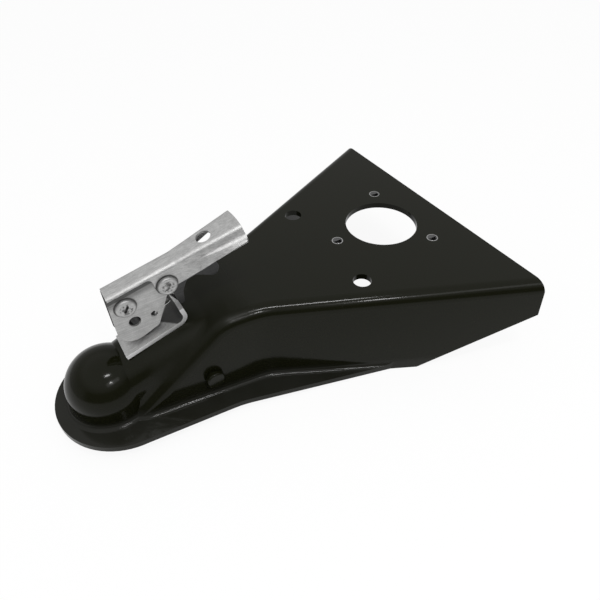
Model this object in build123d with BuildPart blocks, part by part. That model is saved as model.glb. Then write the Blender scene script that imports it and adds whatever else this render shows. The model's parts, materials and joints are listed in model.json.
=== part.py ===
"""A-frame trailer coupler for a 2 inch ball, with a lever latch on its neck.

Frame: origin at the centre of the ball socket, +X to the rear of the trailer
tongue, +Z up, +Y to the right of someone who stands behind and looks forward.
"""

import os
from math import atan2, cos, radians, sin, sqrt, tan

from build123d import *

os.makedirs("parts", exist_ok=True)

# Ball socket and sheet
ball_diameter = 50.8
ball_clearance = 0.35
sheet = 4.76

# Plan of the body, on the level of the ball centre
neck_flare = 5.5
frame_angle = 25.2
rear_x = 304.8
rear_half_width = 131.8
wall_draft = 4.0
corner_radius = 55.0
plate_z = 48.0
bend_radius = 10.0

# Shoulders and neck ridge
shoulder_x = 84.0
shoulder_angle = 37.5
shoulder_blend = 28.0
neck_angle = 15.0
neck_start_x = 15.5
neck_start_z = 27.0
ridge_front_x = 2.0
ridge_front_half = 25.7
ridge_front_flat = 0.6
ridge_rear_x = 92.0
ridge_rear_half = 30.0
ridge_rear_corner = 11.0
ridge_fillet = 12.0
flank_reach = 1.5

# Lip and lower edges
base_z = -18.4
base_tilt = 2.5
lip_centre_x = 9.0
lip_radius = 51.0
lip_knee_x = 82.0
lip_knee_half = 55.7
lip_end_x = 222.0
lip_knee_blend = 80.0
lip_fillet = 4.0
rear_cut_x = 221.0
rear_cut_z = 17.5

# Jack hole, its three tapped holes and the two outer bolt holes
jack_x = 249.2
jack_radius = 30.15
tap_circle = 45.1
tap_radius = 4.0
tap_count = 3
outer_hole_x = 192.0
outer_hole_y = 50.7
outer_hole_radius = 7.15

# Clamp pivot pin
pin_x = 69.0
pin_z = 1.0
pin_radius = 5.5
pin_head_radius = 7.3
pin_head_height = 3.4
pin_head_round = 1.4
pin_stand_off = 0.2
pin_play = 0.05
pin_washer_radius = 9.0
pin_washer_thickness = 1.5
bushing_radius = 8.0

# Ball clamp, in the same plane as the pin
clamp_half = 16.0
clamp_boss_radius = 11.0
clamp_arm_above = 6.0
clamp_arm_below = 5.0
clamp_heel_x = 31.0
clamp_toe_x = 15.0
clamp_toe_z = -17.5
rocker_depth = 33.2
rocker_radius = 8.0
rocker_half = 9.0
clamp_slot_length = 17.0

# Stud and what hangs on it; heights are along the stud from the neck
stud_x = 38.0
stud_radius = 3.97
stud_play = 0.45
stud_end = -53.4
stud_tip_chamfer = 0.8
eye_radius = 9.0
stud_washer_radius = 10.0
stud_washer_thickness = 1.8
nut_across_flats = 12.7
nut_height = 6.5
insert_height = 2.6
insert_radius = 5.3
fit_gap = 0.3

# Clamp spring and the washer over it
spring_wire = 2.0
spring_mean_radius = 8.2
spring_turns = 4
spring_washer_radius = 10.0
spring_washer_thickness = 1.5

# Latch seat, along and square to the neck
seat_thickness = 3.2
seat_half = 12.0
seat_front = -20.5
seat_wall = 31.0
seat_bend = 8.0
seat_shoulder = 13.5
tongue_foot = 15.0
tongue_top = 26.0
tongue_lean = 3.2

# Lever rivet, trigger rivet and cam plates
lever_pivot = (0.0, 37.7)
trigger_pivot = (31.0, 36.6)
cam_inner = 4.3
cam_thickness = 2.0
lever_rivet_radius = 4.0
trigger_rivet_radius = 3.2
rivet_head_radius = 7.3
rivet_head_height = 2.8
rivet_crown = 1.9
rivet_rim = 0.7
rivet_dimple_length = 6.4
rivet_dimple_width = 1.9
rivet_dimple_depth = 1.3
rivet_dimple_turn = 45.0
stud_window = (-0.9, 22.2)
stud_window_radius = 4.3
spring_hole = (12.6, 18.7)
spring_hole_radius = 2.5
cam_top_front = -7.2
cam_nose = (-15.6, 19.7)
cam_toe = (-15.6, 5.9)
cam_heel = (-1.2, 5.9)
cam_back_low = (11.3, 7.7)
cam_back_high = (26.6, 26.8)
cam_ear = (37.5, 30.3)
cam_top_rear = 39.0
cam_rounds = (0, 3.0, 11.0, 8.0, 4.5, 4.0, 6.0, 0)

# Lever, from its front edge along its web
lever_tilt = -3.9
lever_bend = 3.9
lever_front = (-6.7, 52.5)
lever_sheet = 1.6
lever_length = 101.5
lever_roll = 3.4
lever_knee_round = 6.0
lever_front_drop = 2.4
lever_flange_start = 31.0
lever_waist = 50.0
lever_waist_knee = -6.0
lever_waist_edge = -17.6
lever_waist_lean = 0.2
lever_hip = 64.0
lever_hip_half = 8.3
lever_hip_knee = (9.6, -5.6)
lever_hip_edge = (13.8, -12.9)
grip_half = 10.9
grip_knee = (15.0, -7.8)
grip_edge = (18.6, -8.5)
grip_sag = 1.6
grip_corner = 4.0
grip_bow = 90.0
grip_hole_x = 75.5
grip_hole_radius = 5.5

# Trigger, its sleeve and its spring
trigger_sheet = 1.4
trigger_heel = (24.8, 42.4)
trigger_back = (36.0, 43.2)
trigger_bend = (50.0, 35.4)
trigger_tip = (68.1, 29.9)
trigger_tip_low = (68.7, 21.3)
trigger_lobe = (63.6, 15.9)
trigger_arch_rear = (51.0, 26.9)
trigger_arch_front = (43.6, 26.9)
trigger_shank = (38.2, 20.6)
trigger_catch = (34.8, 10.8)
trigger_throat = 29.4
trigger_front = (24.6, 32.0)
trigger_rounds = (3.0, 4.0, 8.0, 4.0, 6.0, 4.0, 5.0, 4.0, 8.0, 1.0, 0.5, 3.0, 3.0)
sleeve_radius = 4.6
sleeve_play = 0.05
sleeve_end_play = 0.1
trigger_wire = 1.0
trigger_coil_radius = 5.7
trigger_coil_half = 1.6
trigger_coil_start = 148.0
trigger_coil_sweep = 823.0
trigger_coil_steps = 24
spring_leg_end = 47.0
first_leg_shares = (0.1, 0.4, 0.7)
last_leg_shares = (0.35, 0.7)

# Levels past the finished edges, from which blocks start and cuts run out
block_bottom = -60.0
run_past = 20.0

socket_radius = ball_diameter / 2 + ball_clearance
dome_radius = socket_radius + sheet
neck_slope = tan(radians(neck_angle))
seat_bend_inner = seat_bend - seat_thickness
cam_outer = cam_inner + cam_thickness
eye_half = cam_inner - fit_gap
tongue_half = cam_inner - fit_gap
trigger_half = cam_inner - fit_gap
sleeve_half = cam_inner - sleeve_end_play
lever_half = cam_outer + lever_sheet


def plan_half(inset, x):
    """Half width of the A walls at station x."""
    angle = radians(frame_angle)
    return rear_half_width - (rear_x - x) * tan(angle) - inset / cos(angle)


def wall_half(x):
    """Outer face of the skirt wall at station x, on the level of the ball centre."""
    flare, angle = radians(neck_flare), radians(frame_angle)
    neck_half = dome_radius / cos(flare)
    corner_x = (neck_half - plan_half(0, 0)) / (tan(angle) - tan(flare))
    tangent = corner_radius * tan((angle - flare) / 2)
    if x < corner_x - tangent * cos(flare):
        return neck_half + x * tan(flare)
    if x > corner_x + tangent * cos(angle):
        return plan_half(0, x)
    centre_x = corner_x - tangent * cos(flare) - corner_radius * sin(flare)
    centre_y = neck_half + (corner_x - tangent * cos(flare)) * tan(flare) + corner_radius * cos(flare)
    return centre_y - sqrt(corner_radius**2 - (x - centre_x) ** 2)


def parallel(path, distance):
    """Points of an open path moved to its left by a distance, with mitred corners."""
    turns = [atan2(b[1] - a[1], b[0] - a[0]) for a, b in zip(path, path[1:])]
    moved = []
    for (x, y), before, after in zip(path, turns[:1] + turns, turns + turns[-1:]):
        middle = (before + after) / 2
        reach = distance / cos((after - before) / 2)
        moved.append((x - reach * sin(middle), y + reach * cos(middle)))
    return moved


def neck_z(x):
    """Height of the ridge line of the neck at station x."""
    return neck_start_z + (x - neck_start_x) * neck_slope


def base_level(x):
    """Height of the lower edge of the body at station x."""
    return base_z - x * tan(radians(base_tilt))


def skirt(inset, run_out):
    """Block within the skirt and A walls, its top edges rounded as the bend is."""
    low_inset = inset + block_bottom * tan(radians(wall_draft))
    radius = dome_radius - low_inset
    flare = radians(neck_flare)
    start = (-radius * sin(flare), radius * cos(flare))
    split = tan(radians(frame_angle)) - tan(flare)
    corner_x = (start[1] - tan(flare) * start[0] - plan_half(low_inset, 0)) / split
    corner = (corner_x, plan_half(low_inset, corner_x))
    end_x = rear_x + run_out + run_past
    end = (end_x, plan_half(low_inset, end_x))
    side = [start, corner, end]
    far_side = [(x, -y) for x, y in reversed(side)]

    angle = radians(shoulder_angle)
    top_z = plate_z - inset
    crest_x = shoulder_x + inset * tan(angle / 2)
    foot_x = crest_x - (top_z - block_bottom) / tan(angle)

    with BuildPart() as block:
        with BuildSketch(Plane.XY.offset(block_bottom)) as plan:
            Circle(radius)
            with BuildLine():
                Polyline(*side, *far_side, close=True)
            make_face()
            knees = plan.vertices().filter_by(lambda v: abs(v.X - corner_x) < 1e-3)
            fillet(knees, corner_radius + low_inset)
        extrude(amount=top_z - block_bottom, taper=wall_draft)
        with BuildSketch(Plane.XZ):
            with BuildLine():
                FilletPolyline(
                    (foot_x, block_bottom),
                    (crest_x, top_z),
                    (rear_x + run_out, top_z),
                    (rear_x + run_out, block_bottom),
                    radius=(0, shoulder_blend - inset, 0, 0),
                    close=True,
                )
            make_face()
        extrude(amount=rear_half_width * 2, both=True, mode=Mode.INTERSECT)
        crest = block.faces().filter_by(lambda f: f.normal_at().Z > 0.5)
        folds = crest.edges().filter_by(lambda e: abs(e.center().Y) > 1)
        fillet(folds, bend_radius - inset)
    return block.part


def dome(inset):
    """Ball dome with the straight rim under it."""
    radius = dome_radius - inset
    with BuildPart() as cap:
        with BuildSketch(Plane.XZ):
            with BuildLine():
                CenterArc((0, 0), radius, 0, 90)
                Polyline((0, radius), (0, block_bottom), (radius, block_bottom), (radius, 0))
            make_face()
        revolve(axis=Axis.Z)
    return cap.part


def ridge(inset):
    """Neck ridge, round where it leaves the dome and flat where it joins the plate."""
    stations = (
        (ridge_front_x, ridge_front_half, ridge_front_half - ridge_front_flat),
        (ridge_rear_x, ridge_rear_half, ridge_rear_corner),
    )
    with BuildPart() as arch:
        for x, half, corner in stations:
            top = neck_z(x) - inset / cos(radians(neck_angle))
            with BuildSketch(Plane.YZ.offset(x)):
                with BuildLine():
                    FilletPolyline(
                        (-half + inset, block_bottom),
                        (-half + inset, top),
                        (half - inset, top),
                        (half - inset, block_bottom),
                        radius=(0, corner - inset, corner - inset, 0),
                        close=True,
                    )
                make_face()
        loft(ruled=True)
    return arch.part


base_plane = Plane(
    origin=(0, 0, base_z),
    x_dir=(cos(radians(base_tilt)), 0, -sin(radians(base_tilt))),
    z_dir=(sin(radians(base_tilt)), 0, cos(radians(base_tilt))),
)
along_neck = Vector(cos(radians(neck_angle)), 0, sin(radians(neck_angle)))
off_neck = Vector(-sin(radians(neck_angle)), 0, cos(radians(neck_angle)))
stud_foot = Vector(stud_x, 0, neck_z(stud_x))
latch_side = Plane(origin=stud_foot, x_dir=along_neck, z_dir=(0, -1, 0))
latch_floor = Plane(origin=stud_foot, x_dir=along_neck, z_dir=off_neck)


def latch_point(along, height, y=0.0):
    """Point of the latch, given along the neck and square to it."""
    return stud_foot + along_neck * along + off_neck * height + Vector(0, y, 0)


with BuildPart() as cavity:
    add(skirt(sheet, run_past))
    add(dome(sheet))
    add(ridge(sheet))

with BuildPart() as lip:
    add(skirt(0, 0))
    add(dome(0))
    with BuildSketch(base_plane):
        Rectangle(rear_x * 4, rear_half_width * 4)
    extrude(amount=sheet)
    creases = lip.edges().filter_by(
        lambda e: abs(base_plane.to_local_coords(e.center()).Z - sheet) < fit_gap
        and e.center().X > -lip_radius
        and e.center().X < rear_x
    )
    fillet(creases, lip_fillet)
    with BuildSketch(base_plane) as lip_plan:
        with Locations((lip_centre_x, 0)):
            Circle(lip_radius)
        with BuildLine():
            Polyline(
                (lip_centre_x, lip_radius),
                (lip_knee_x, lip_knee_half),
                (lip_end_x, plan_half(sheet / 2, lip_end_x)),
                (lip_end_x, -plan_half(sheet / 2, lip_end_x)),
                (lip_knee_x, -lip_knee_half),
                (lip_centre_x, -lip_radius),
                close=True,
            )
        make_face()
        knees = lip_plan.vertices().filter_by(lambda v: abs(v.X - lip_knee_x) < 1e-3)
        fillet(knees, lip_knee_blend)
    extrude(amount=sheet + 2 * lip_fillet, mode=Mode.INTERSECT)

with BuildPart() as coupler_body:
    add(skirt(0, 0))
    add(dome(0))
    add(ridge(0))
    flanks = coupler_body.edges().filter_by(
        lambda e: neck_start_x < e.center().X < shoulder_x - bend_radius
        and ridge_front_half - flank_reach < abs(e.center().Y) < ridge_rear_half
    )
    fillet(flanks, ridge_fillet)
    add(lip.part)
    add(cavity.part, mode=Mode.SUBTRACT)
    with BuildSketch(base_plane):
        Rectangle(rear_x * 4, rear_half_width * 4)
    extrude(amount=block_bottom * 2, mode=Mode.SUBTRACT)
    with BuildSketch(Plane.XZ):
        with BuildLine():
            Polyline(
                (rear_cut_x, base_level(rear_cut_x)),
                (rear_x, rear_cut_z),
                (rear_x + run_past, rear_cut_z),
                (rear_x + run_past, block_bottom),
                (rear_cut_x, block_bottom),
                close=True,
            )
        make_face()
    extrude(amount=rear_half_width * 2, both=True, mode=Mode.SUBTRACT)
    with BuildSketch(Plane.XY.offset(plate_z)):
        with Locations((jack_x, 0)):
            Circle(jack_radius)
            with PolarLocations(tap_circle, tap_count, start_angle=180):
                Circle(tap_radius)
        with Locations((outer_hole_x, outer_hole_y), (outer_hole_x, -outer_hole_y)):
            Circle(outer_hole_radius)
    extrude(amount=-2 * sheet, mode=Mode.SUBTRACT)
    with BuildSketch(Plane.XZ):
        with Locations((pin_x, pin_z)):
            Circle(pin_radius + pin_play)
    extrude(amount=lip_knee_half, both=True, mode=Mode.SUBTRACT)
    with BuildSketch(latch_floor):
        Circle(stud_radius + stud_play)
    extrude(amount=2 * sheet, both=True, mode=Mode.SUBTRACT)

with BuildPart() as clamp_pivot_pin:
    pin_drop = pin_washer_radius - pin_z
    pin_seat = wall_half(pin_x + pin_washer_radius) + pin_drop * tan(radians(wall_draft)) + pin_stand_off
    with BuildSketch(Plane.XZ):
        with Locations((pin_x, pin_z)):
            Circle(pin_radius)
    extrude(amount=pin_seat, both=True)
    with BuildSketch(Plane.XZ.offset(pin_seat)):
        with Locations((pin_x, pin_z)):
            Circle(pin_head_radius)
    extrude(amount=pin_head_height)
    with BuildSketch(Plane.XZ.offset(-pin_seat - pin_washer_thickness)):
        with Locations((pin_x, pin_z)):
            Circle(pin_head_radius)
    extrude(amount=-pin_head_height)
    with BuildSketch(Plane.XZ.offset(-pin_seat - pin_washer_thickness)):
        with Locations((pin_x, pin_z)):
            Circle(pin_radius)
    extrude(amount=pin_washer_thickness)
    rims = clamp_pivot_pin.edges().group_by(Axis.Y)
    fillet(rims[0] + rims[-1], pin_head_round)

with BuildPart() as pin_washer:
    with BuildSketch(Plane.XZ.offset(-pin_seat)):
        with Locations((pin_x, pin_z)):
            Circle(pin_washer_radius)
            Circle(pin_radius, mode=Mode.SUBTRACT)
    extrude(amount=-pin_washer_thickness)

with BuildPart() as clamp_bushing:
    with BuildSketch(Plane.XZ):
        with Locations((pin_x, pin_z)):
            Circle(bushing_radius)
            Circle(pin_radius + pin_play, mode=Mode.SUBTRACT)
    extrude(amount=clamp_half, both=True)

rocker = latch_point(0, -rocker_depth)


def arm_z(x, height):
    """Height of a line along the clamp arm, parallel to the neck."""
    return rocker.Z + (x - rocker.X) * neck_slope + height / cos(radians(neck_angle))


with BuildPart() as ball_clamp:
    with BuildSketch(Plane.XZ):
        with BuildLine():
            Polyline(
                (clamp_toe_x, clamp_toe_z),
                (clamp_heel_x, clamp_toe_z),
                (clamp_heel_x + clamp_arm_below, arm_z(clamp_heel_x + clamp_arm_below, -clamp_arm_below)),
                (pin_x, arm_z(pin_x, -clamp_arm_below)),
                (pin_x, arm_z(pin_x, clamp_arm_above)),
                (clamp_toe_x, arm_z(clamp_toe_x, clamp_arm_above)),
                close=True,
            )
        make_face()
        with Locations((pin_x, pin_z)):
            Circle(clamp_boss_radius)
    extrude(amount=clamp_half, both=True)
    with BuildSketch(latch_side):
        with BuildLine():
            CenterArc((0, -rocker_depth), rocker_radius, 180, 180)
            Line((-rocker_radius, -rocker_depth), (rocker_radius, -rocker_depth))
        make_face()
    extrude(amount=rocker_half, both=True)
    with BuildSketch(Plane.XZ):
        with Locations((pin_x, pin_z)):
            Circle(bushing_radius)
    extrude(amount=clamp_half, both=True, mode=Mode.SUBTRACT)
    with BuildSketch(latch_floor.offset(-rocker_depth)):
        SlotOverall(clamp_slot_length, 2 * (stud_radius + stud_play))
    extrude(amount=2 * rocker_radius, both=True, mode=Mode.SUBTRACT)
    Sphere(socket_radius, mode=Mode.SUBTRACT)

with BuildPart() as clamp_stud:
    with BuildSketch(latch_side):
        with Locations(lever_pivot):
            Circle(eye_radius)
    extrude(amount=eye_half, both=True)
    with BuildSketch(latch_floor.offset(stud_end)):
        Circle(stud_radius)
    extrude(amount=lever_pivot[1] - stud_end)
    with BuildSketch(latch_side):
        with Locations(lever_pivot):
            Circle(lever_rivet_radius + sleeve_play)
    extrude(amount=eye_radius, both=True, mode=Mode.SUBTRACT)
    tip = clamp_stud.edges().group_by(Axis.Z)[0]
    chamfer(tip, stud_tip_chamfer)

washer_top = -rocker_depth - rocker_radius - fit_gap
nut_top = washer_top - stud_washer_thickness
insert_top = nut_top - nut_height
with BuildPart() as stud_washer:
    with BuildSketch(latch_floor.offset(washer_top)):
        Circle(stud_washer_radius)
        Circle(stud_radius, mode=Mode.SUBTRACT)
    extrude(amount=-stud_washer_thickness)

with BuildPart() as lock_nut:
    with BuildSketch(latch_floor.offset(nut_top)):
        RegularPolygon(nut_across_flats / 2, 6, major_radius=False)
        Circle(stud_radius, mode=Mode.SUBTRACT)
    extrude(amount=-nut_height)
    with BuildSketch(latch_floor.offset(insert_top)):
        Circle(nut_across_flats / 2)
        Circle(insert_radius, mode=Mode.SUBTRACT)
    extrude(amount=-insert_height)

with BuildPart() as nut_insert:
    with BuildSketch(latch_floor.offset(insert_top)):
        Circle(insert_radius)
        Circle(stud_radius, mode=Mode.SUBTRACT)
    extrude(amount=-insert_height)

with BuildPart() as spring_washer:
    spring_top = -sheet - fit_gap - spring_washer_thickness
    with BuildSketch(latch_floor.offset(spring_top)):
        Circle(spring_washer_radius)
        Circle(stud_radius + stud_play, mode=Mode.SUBTRACT)
    extrude(amount=spring_washer_thickness)

with BuildPart() as clamp_spring:
    spring_foot = -rocker_depth + clamp_arm_above
    spring_run = spring_top - spring_foot - spring_wire - 2 * fit_gap
    coil_foot = latch_point(0, spring_foot + fit_gap + spring_wire / 2)
    with BuildLine() as coil:
        Helix(
            spring_run / spring_turns,
            spring_run,
            spring_mean_radius,
            center=coil_foot,
            direction=off_neck,
        )
    with BuildSketch(Plane(origin=coil.line @ 0, z_dir=coil.line % 0)):
        Circle(spring_wire / 2)
    sweep(path=coil.line, is_frenet=True)

with BuildPart() as latch_seat:
    with BuildSketch(latch_side):
        with BuildLine():
            FilletPolyline(
                (seat_front, 0),
                (seat_wall, 0),
                (seat_wall, tongue_foot),
                (seat_wall - tongue_lean, tongue_top),
                (seat_wall - seat_thickness - tongue_lean, tongue_top),
                (seat_wall - seat_thickness, tongue_foot),
                (seat_wall - seat_thickness, seat_thickness),
                (seat_front, seat_thickness),
                radius=(0, seat_bend, 0, 0, 0, 0, seat_bend_inner, 0),
                close=True,
            )
        make_face()
    extrude(amount=seat_half, both=True)
    with BuildSketch(Plane(origin=latch_point(0, 0), x_dir=(0, 1, 0), z_dir=along_neck)):
        for side in (1, -1):
            with BuildLine():
                Polyline(
                    (side * seat_half, seat_shoulder),
                    (side * tongue_half, tongue_foot),
                    (side * tongue_half, 2 * tongue_top),
                    (side * 2 * seat_half, 2 * tongue_top),
                    (side * 2 * seat_half, seat_shoulder),
                    close=True,
                )
            make_face()
    extrude(amount=2 * seat_wall, both=True, mode=Mode.SUBTRACT)
    with BuildSketch(latch_floor):
        Circle(stud_radius + stud_play)
    extrude(amount=2 * seat_thickness, mode=Mode.SUBTRACT)


def web_under(along):
    """Height of the underside of the lever web over the neck."""
    drop = (along - lever_front[0]) * tan(radians(lever_tilt))
    return lever_front[1] + drop - lever_sheet / cos(radians(lever_tilt))


def cam_plate(outward):
    """Cam plate on one side of the latch; outward is 1 on the left, -1 on the right."""
    with BuildPart() as plate:
        with BuildSketch(latch_side.offset(outward * cam_inner)):
            with BuildLine():
                FilletPolyline(
                    (cam_top_front, web_under(cam_top_front)),
                    cam_nose,
                    cam_toe,
                    cam_heel,
                    cam_back_low,
                    cam_back_high,
                    cam_ear,
                    (cam_top_rear, web_under(cam_top_rear)),
                    radius=cam_rounds,
                    close=True,
                )
            make_face()
            with Locations(lever_pivot):
                Circle(lever_rivet_radius, mode=Mode.SUBTRACT)
            with Locations(trigger_pivot):
                Circle(trigger_rivet_radius, mode=Mode.SUBTRACT)
            with Locations(stud_window):
                Circle(stud_window_radius, mode=Mode.SUBTRACT)
            with Locations(spring_hole):
                Circle(spring_hole_radius, mode=Mode.SUBTRACT)
        extrude(amount=outward * cam_thickness)
        outer_side = plate.faces().sort_by(lambda f: abs(f.center().Y))[-1]
        fillet(outer_side.edges().sort_by(Axis.Z)[-1], lever_roll - lever_sheet)
    return plate.part


with BuildPart() as left_cam_plate:
    add(cam_plate(1))

with BuildPart() as right_cam_plate:
    add(cam_plate(-1))


def rivet(centre, radius, seat):
    """Rivet across the latch, with a dimpled dome head on each side."""
    with BuildPart() as body:
        with BuildSketch(latch_side):
            with Locations(centre):
                Circle(radius)
        extrude(amount=seat, both=True)
        for outward in (1, -1):
            with BuildSketch(latch_side.offset(outward * seat)):
                with Locations(centre):
                    Circle(rivet_head_radius)
            extrude(amount=outward * rivet_head_height)
        rims = body.edges().filter_by(GeomType.CIRCLE).filter_by(
            lambda e: abs(e.radius - rivet_head_radius) < fit_gap
        )
        levels = rims.group_by(Axis.Y)
        fillet(levels[0] + levels[-1], rivet_crown)
        fillet(levels[1] + levels[-2], rivet_rim)
        for outward in (1, -1):
            with BuildSketch(latch_side.offset(outward * (seat + rivet_head_height))):
                with Locations(centre):
                    SlotOverall(rivet_dimple_length, rivet_dimple_width, rotation=rivet_dimple_turn)
            extrude(amount=-outward * rivet_dimple_depth, mode=Mode.SUBTRACT)
    return body.part


with BuildPart() as lever_rivet:
    add(rivet(lever_pivot, lever_rivet_radius, cam_outer))

with BuildPart() as trigger_rivet:
    add(rivet(trigger_pivot, trigger_rivet_radius, lever_half + lever_waist_lean))

with BuildPart() as trigger_sleeve:
    with BuildSketch(latch_side):
        with Locations(trigger_pivot):
            Circle(sleeve_radius)
            Circle(trigger_rivet_radius, mode=Mode.SUBTRACT)
    extrude(amount=sleeve_half, both=True)

lever_angle = radians(neck_angle + lever_tilt)
lever_along = Vector(cos(lever_angle), 0, sin(lever_angle))
lever_origin = latch_point(*lever_front)
grip_angle = radians(neck_angle + lever_tilt + lever_bend)
grip_along = Vector(cos(grip_angle), 0, sin(grip_angle))
grip_up = Vector(-sin(grip_angle), 0, cos(grip_angle))
grip_origin = lever_origin + (lever_along - grip_along) * lever_waist


def lever_section(station):
    """Plane across the lever, at a distance from its front edge along the bent web."""
    along = lever_along if station <= lever_waist else grip_along
    origin = lever_origin if station <= lever_waist else grip_origin
    return Plane(origin=origin + along * station, x_dir=(0, 1, 0), z_dir=along)


def lever_outline(web, knee, edge):
    """Closed section of the lever: web, rolled edge, knee and flange, both sides."""
    outer = [(0, 0), (web, 0), knee, edge]
    inner = parallel(outer, -lever_sheet)[1:]
    right = outer[1:] + inner[::-1]
    left = [(-y, z) for y, z in reversed(right)]
    return right + left


lever_waist_outline = lever_outline(
    lever_half,
    (lever_half, lever_waist_knee),
    (lever_half + lever_waist_lean, lever_waist_edge),
)
lever_stations = (
    (lever_waist, lever_waist_outline),
    (lever_hip, lever_outline(lever_hip_half, lever_hip_knee, lever_hip_edge)),
    (lever_length, lever_outline(grip_half, grip_knee, grip_edge)),
)
lever_rounds = (
    lever_roll,
    lever_knee_round,
    0,
    0,
    lever_knee_round + lever_sheet,
    lever_roll - lever_sheet,
)
lever_rounds = lever_rounds + lever_rounds[::-1]
lever_side = Plane(origin=lever_origin, x_dir=lever_along, z_dir=(0, -1, 0))
grip_top = Plane(origin=grip_origin, x_dir=grip_along, z_dir=grip_up)

with BuildPart() as lever_front_half:
    with BuildSketch(lever_section(0)):
        with BuildLine():
            FilletPolyline(*lever_stations[0][1], radius=lever_rounds, close=True)
        make_face()
    extrude(amount=lever_waist)
    with BuildSketch(lever_side):
        with BuildLine():
            FilletPolyline(
                (-run_past, -lever_front_drop),
                (lever_flange_start, -lever_front_drop),
                (lever_flange_start, -4 * lever_half),
                (-run_past, -4 * lever_half),
                radius=(0, lever_roll, 0, 0),
                close=True,
            )
        make_face()
    extrude(amount=2 * lever_half, both=True, mode=Mode.SUBTRACT)

with BuildPart() as lever:
    for station, outline in lever_stations:
        with BuildSketch(lever_section(station)):
            with BuildLine():
                FilletPolyline(*outline, radius=lever_rounds, close=True)
            make_face()
    loft(ruled=True)
    add(lever_front_half.part)
    with BuildSketch(grip_top.offset(-4 * lever_half)):
        with BuildLine():
            FilletPolyline(
                (-run_past, grip_edge[0]),
                (lever_length - grip_sag, grip_edge[0]),
                (lever_length, 0),
                (lever_length - grip_sag, -grip_edge[0]),
                (-run_past, -grip_edge[0]),
                radius=(0, grip_corner, grip_bow, grip_corner, 0),
                close=True,
            )
        make_face()
    extrude(amount=8 * lever_half, mode=Mode.INTERSECT)
    with BuildSketch(grip_top):
        with Locations((grip_hole_x, 0)):
            Circle(grip_hole_radius)
    extrude(amount=-2 * lever_sheet, mode=Mode.SUBTRACT)
    with BuildSketch(latch_side):
        with Locations(trigger_pivot):
            Circle(trigger_rivet_radius)
    extrude(amount=2 * lever_half, both=True, mode=Mode.SUBTRACT)

trigger_web = [
    trigger_catch,
    trigger_shank,
    trigger_arch_front,
    trigger_arch_rear,
    trigger_lobe,
    trigger_tip_low,
]
trigger_web_inside = parallel(trigger_web, trigger_sheet)

with BuildPart() as trigger:
    with BuildSketch(latch_side):
        with BuildLine():
            FilletPolyline(
                trigger_heel,
                trigger_back,
                trigger_bend,
                trigger_tip,
                *reversed(trigger_web),
                (seat_wall + fit_gap, trigger_catch[1]),
                (seat_wall + fit_gap, trigger_throat),
                trigger_front,
                radius=trigger_rounds,
                close=True,
            )
        make_face()
    extrude(amount=trigger_half, both=True)
    with BuildSketch(latch_side):
        with BuildLine():
            Polyline(
                (trigger_web_inside[0][0], trigger_catch[1] - run_past),
                *trigger_web_inside,
                (trigger_web_inside[-1][0], trigger_back[1] + run_past),
                (trigger_front[0] - run_past, trigger_back[1] + run_past),
                (trigger_front[0] - run_past, trigger_catch[1] - run_past),
                close=True,
            )
        make_face()
    extrude(amount=trigger_half - trigger_sheet, both=True, mode=Mode.SUBTRACT)
    with BuildSketch(latch_side):
        with Locations(trigger_pivot):
            Circle(sleeve_radius + sleeve_play)
    extrude(amount=trigger_half, both=True, mode=Mode.SUBTRACT)


def coil_point(share):
    """Point of the trigger spring's coil, from its first end (0) to its last (1)."""
    angle = radians(trigger_coil_start - trigger_coil_sweep * share)
    return latch_point(
        trigger_pivot[0] + trigger_coil_radius * cos(angle),
        trigger_pivot[1] + trigger_coil_radius * sin(angle),
        trigger_coil_half * (2 * share - 1),
    )


with BuildPart() as trigger_spring:
    coil_ends = (coil_point(0), coil_point(1))
    leg_foot = latch_point(*spring_hole, -cam_inner + trigger_wire)
    leg_rest = trigger_arch_front[1] + trigger_sheet + trigger_wire
    leg_tip = latch_point(spring_leg_end, leg_rest, trigger_coil_half)
    with BuildLine() as spring_path:
        Spline(
            latch_point(*spring_hole, -cam_outer),
            latch_point(*spring_hole, -cam_inner),
            *[leg_foot + (coil_ends[0] - leg_foot) * share for share in first_leg_shares],
            *[coil_point(step / trigger_coil_steps) for step in range(trigger_coil_steps + 1)],
            *[coil_ends[1] + (leg_tip - coil_ends[1]) * share for share in last_leg_shares],
            leg_tip,
        )
    with BuildSketch(Plane(origin=spring_path.line @ 0, z_dir=spring_path.line % 0)):
        Circle(trigger_wire / 2)
    sweep(path=spring_path.line)

pieces = {
    "coupler_body": coupler_body,
    "clamp_pivot_pin": clamp_pivot_pin,
    "pin_washer": pin_washer,
    "clamp_bushing": clamp_bushing,
    "ball_clamp": ball_clamp,
    "clamp_stud": clamp_stud,
    "stud_washer": stud_washer,
    "lock_nut": lock_nut,
    "nut_insert": nut_insert,
    "spring_washer": spring_washer,
    "clamp_spring": clamp_spring,
    "latch_seat": latch_seat,
    "left_cam_plate": left_cam_plate,
    "right_cam_plate": right_cam_plate,
    "lever_rivet": lever_rivet,
    "trigger_rivet": trigger_rivet,
    "trigger_sleeve": trigger_sleeve,
    "lever": lever,
    "trigger": trigger,
    "trigger_spring": trigger_spring,
}
for label, piece in pieces.items():
    piece.part.label = label
    export_step(piece.part, f"parts/{label}.step")
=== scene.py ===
"""Looks of the trailer coupling head: black paint, zinc plating, cut threads, light and camera."""

import json
import math

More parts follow.
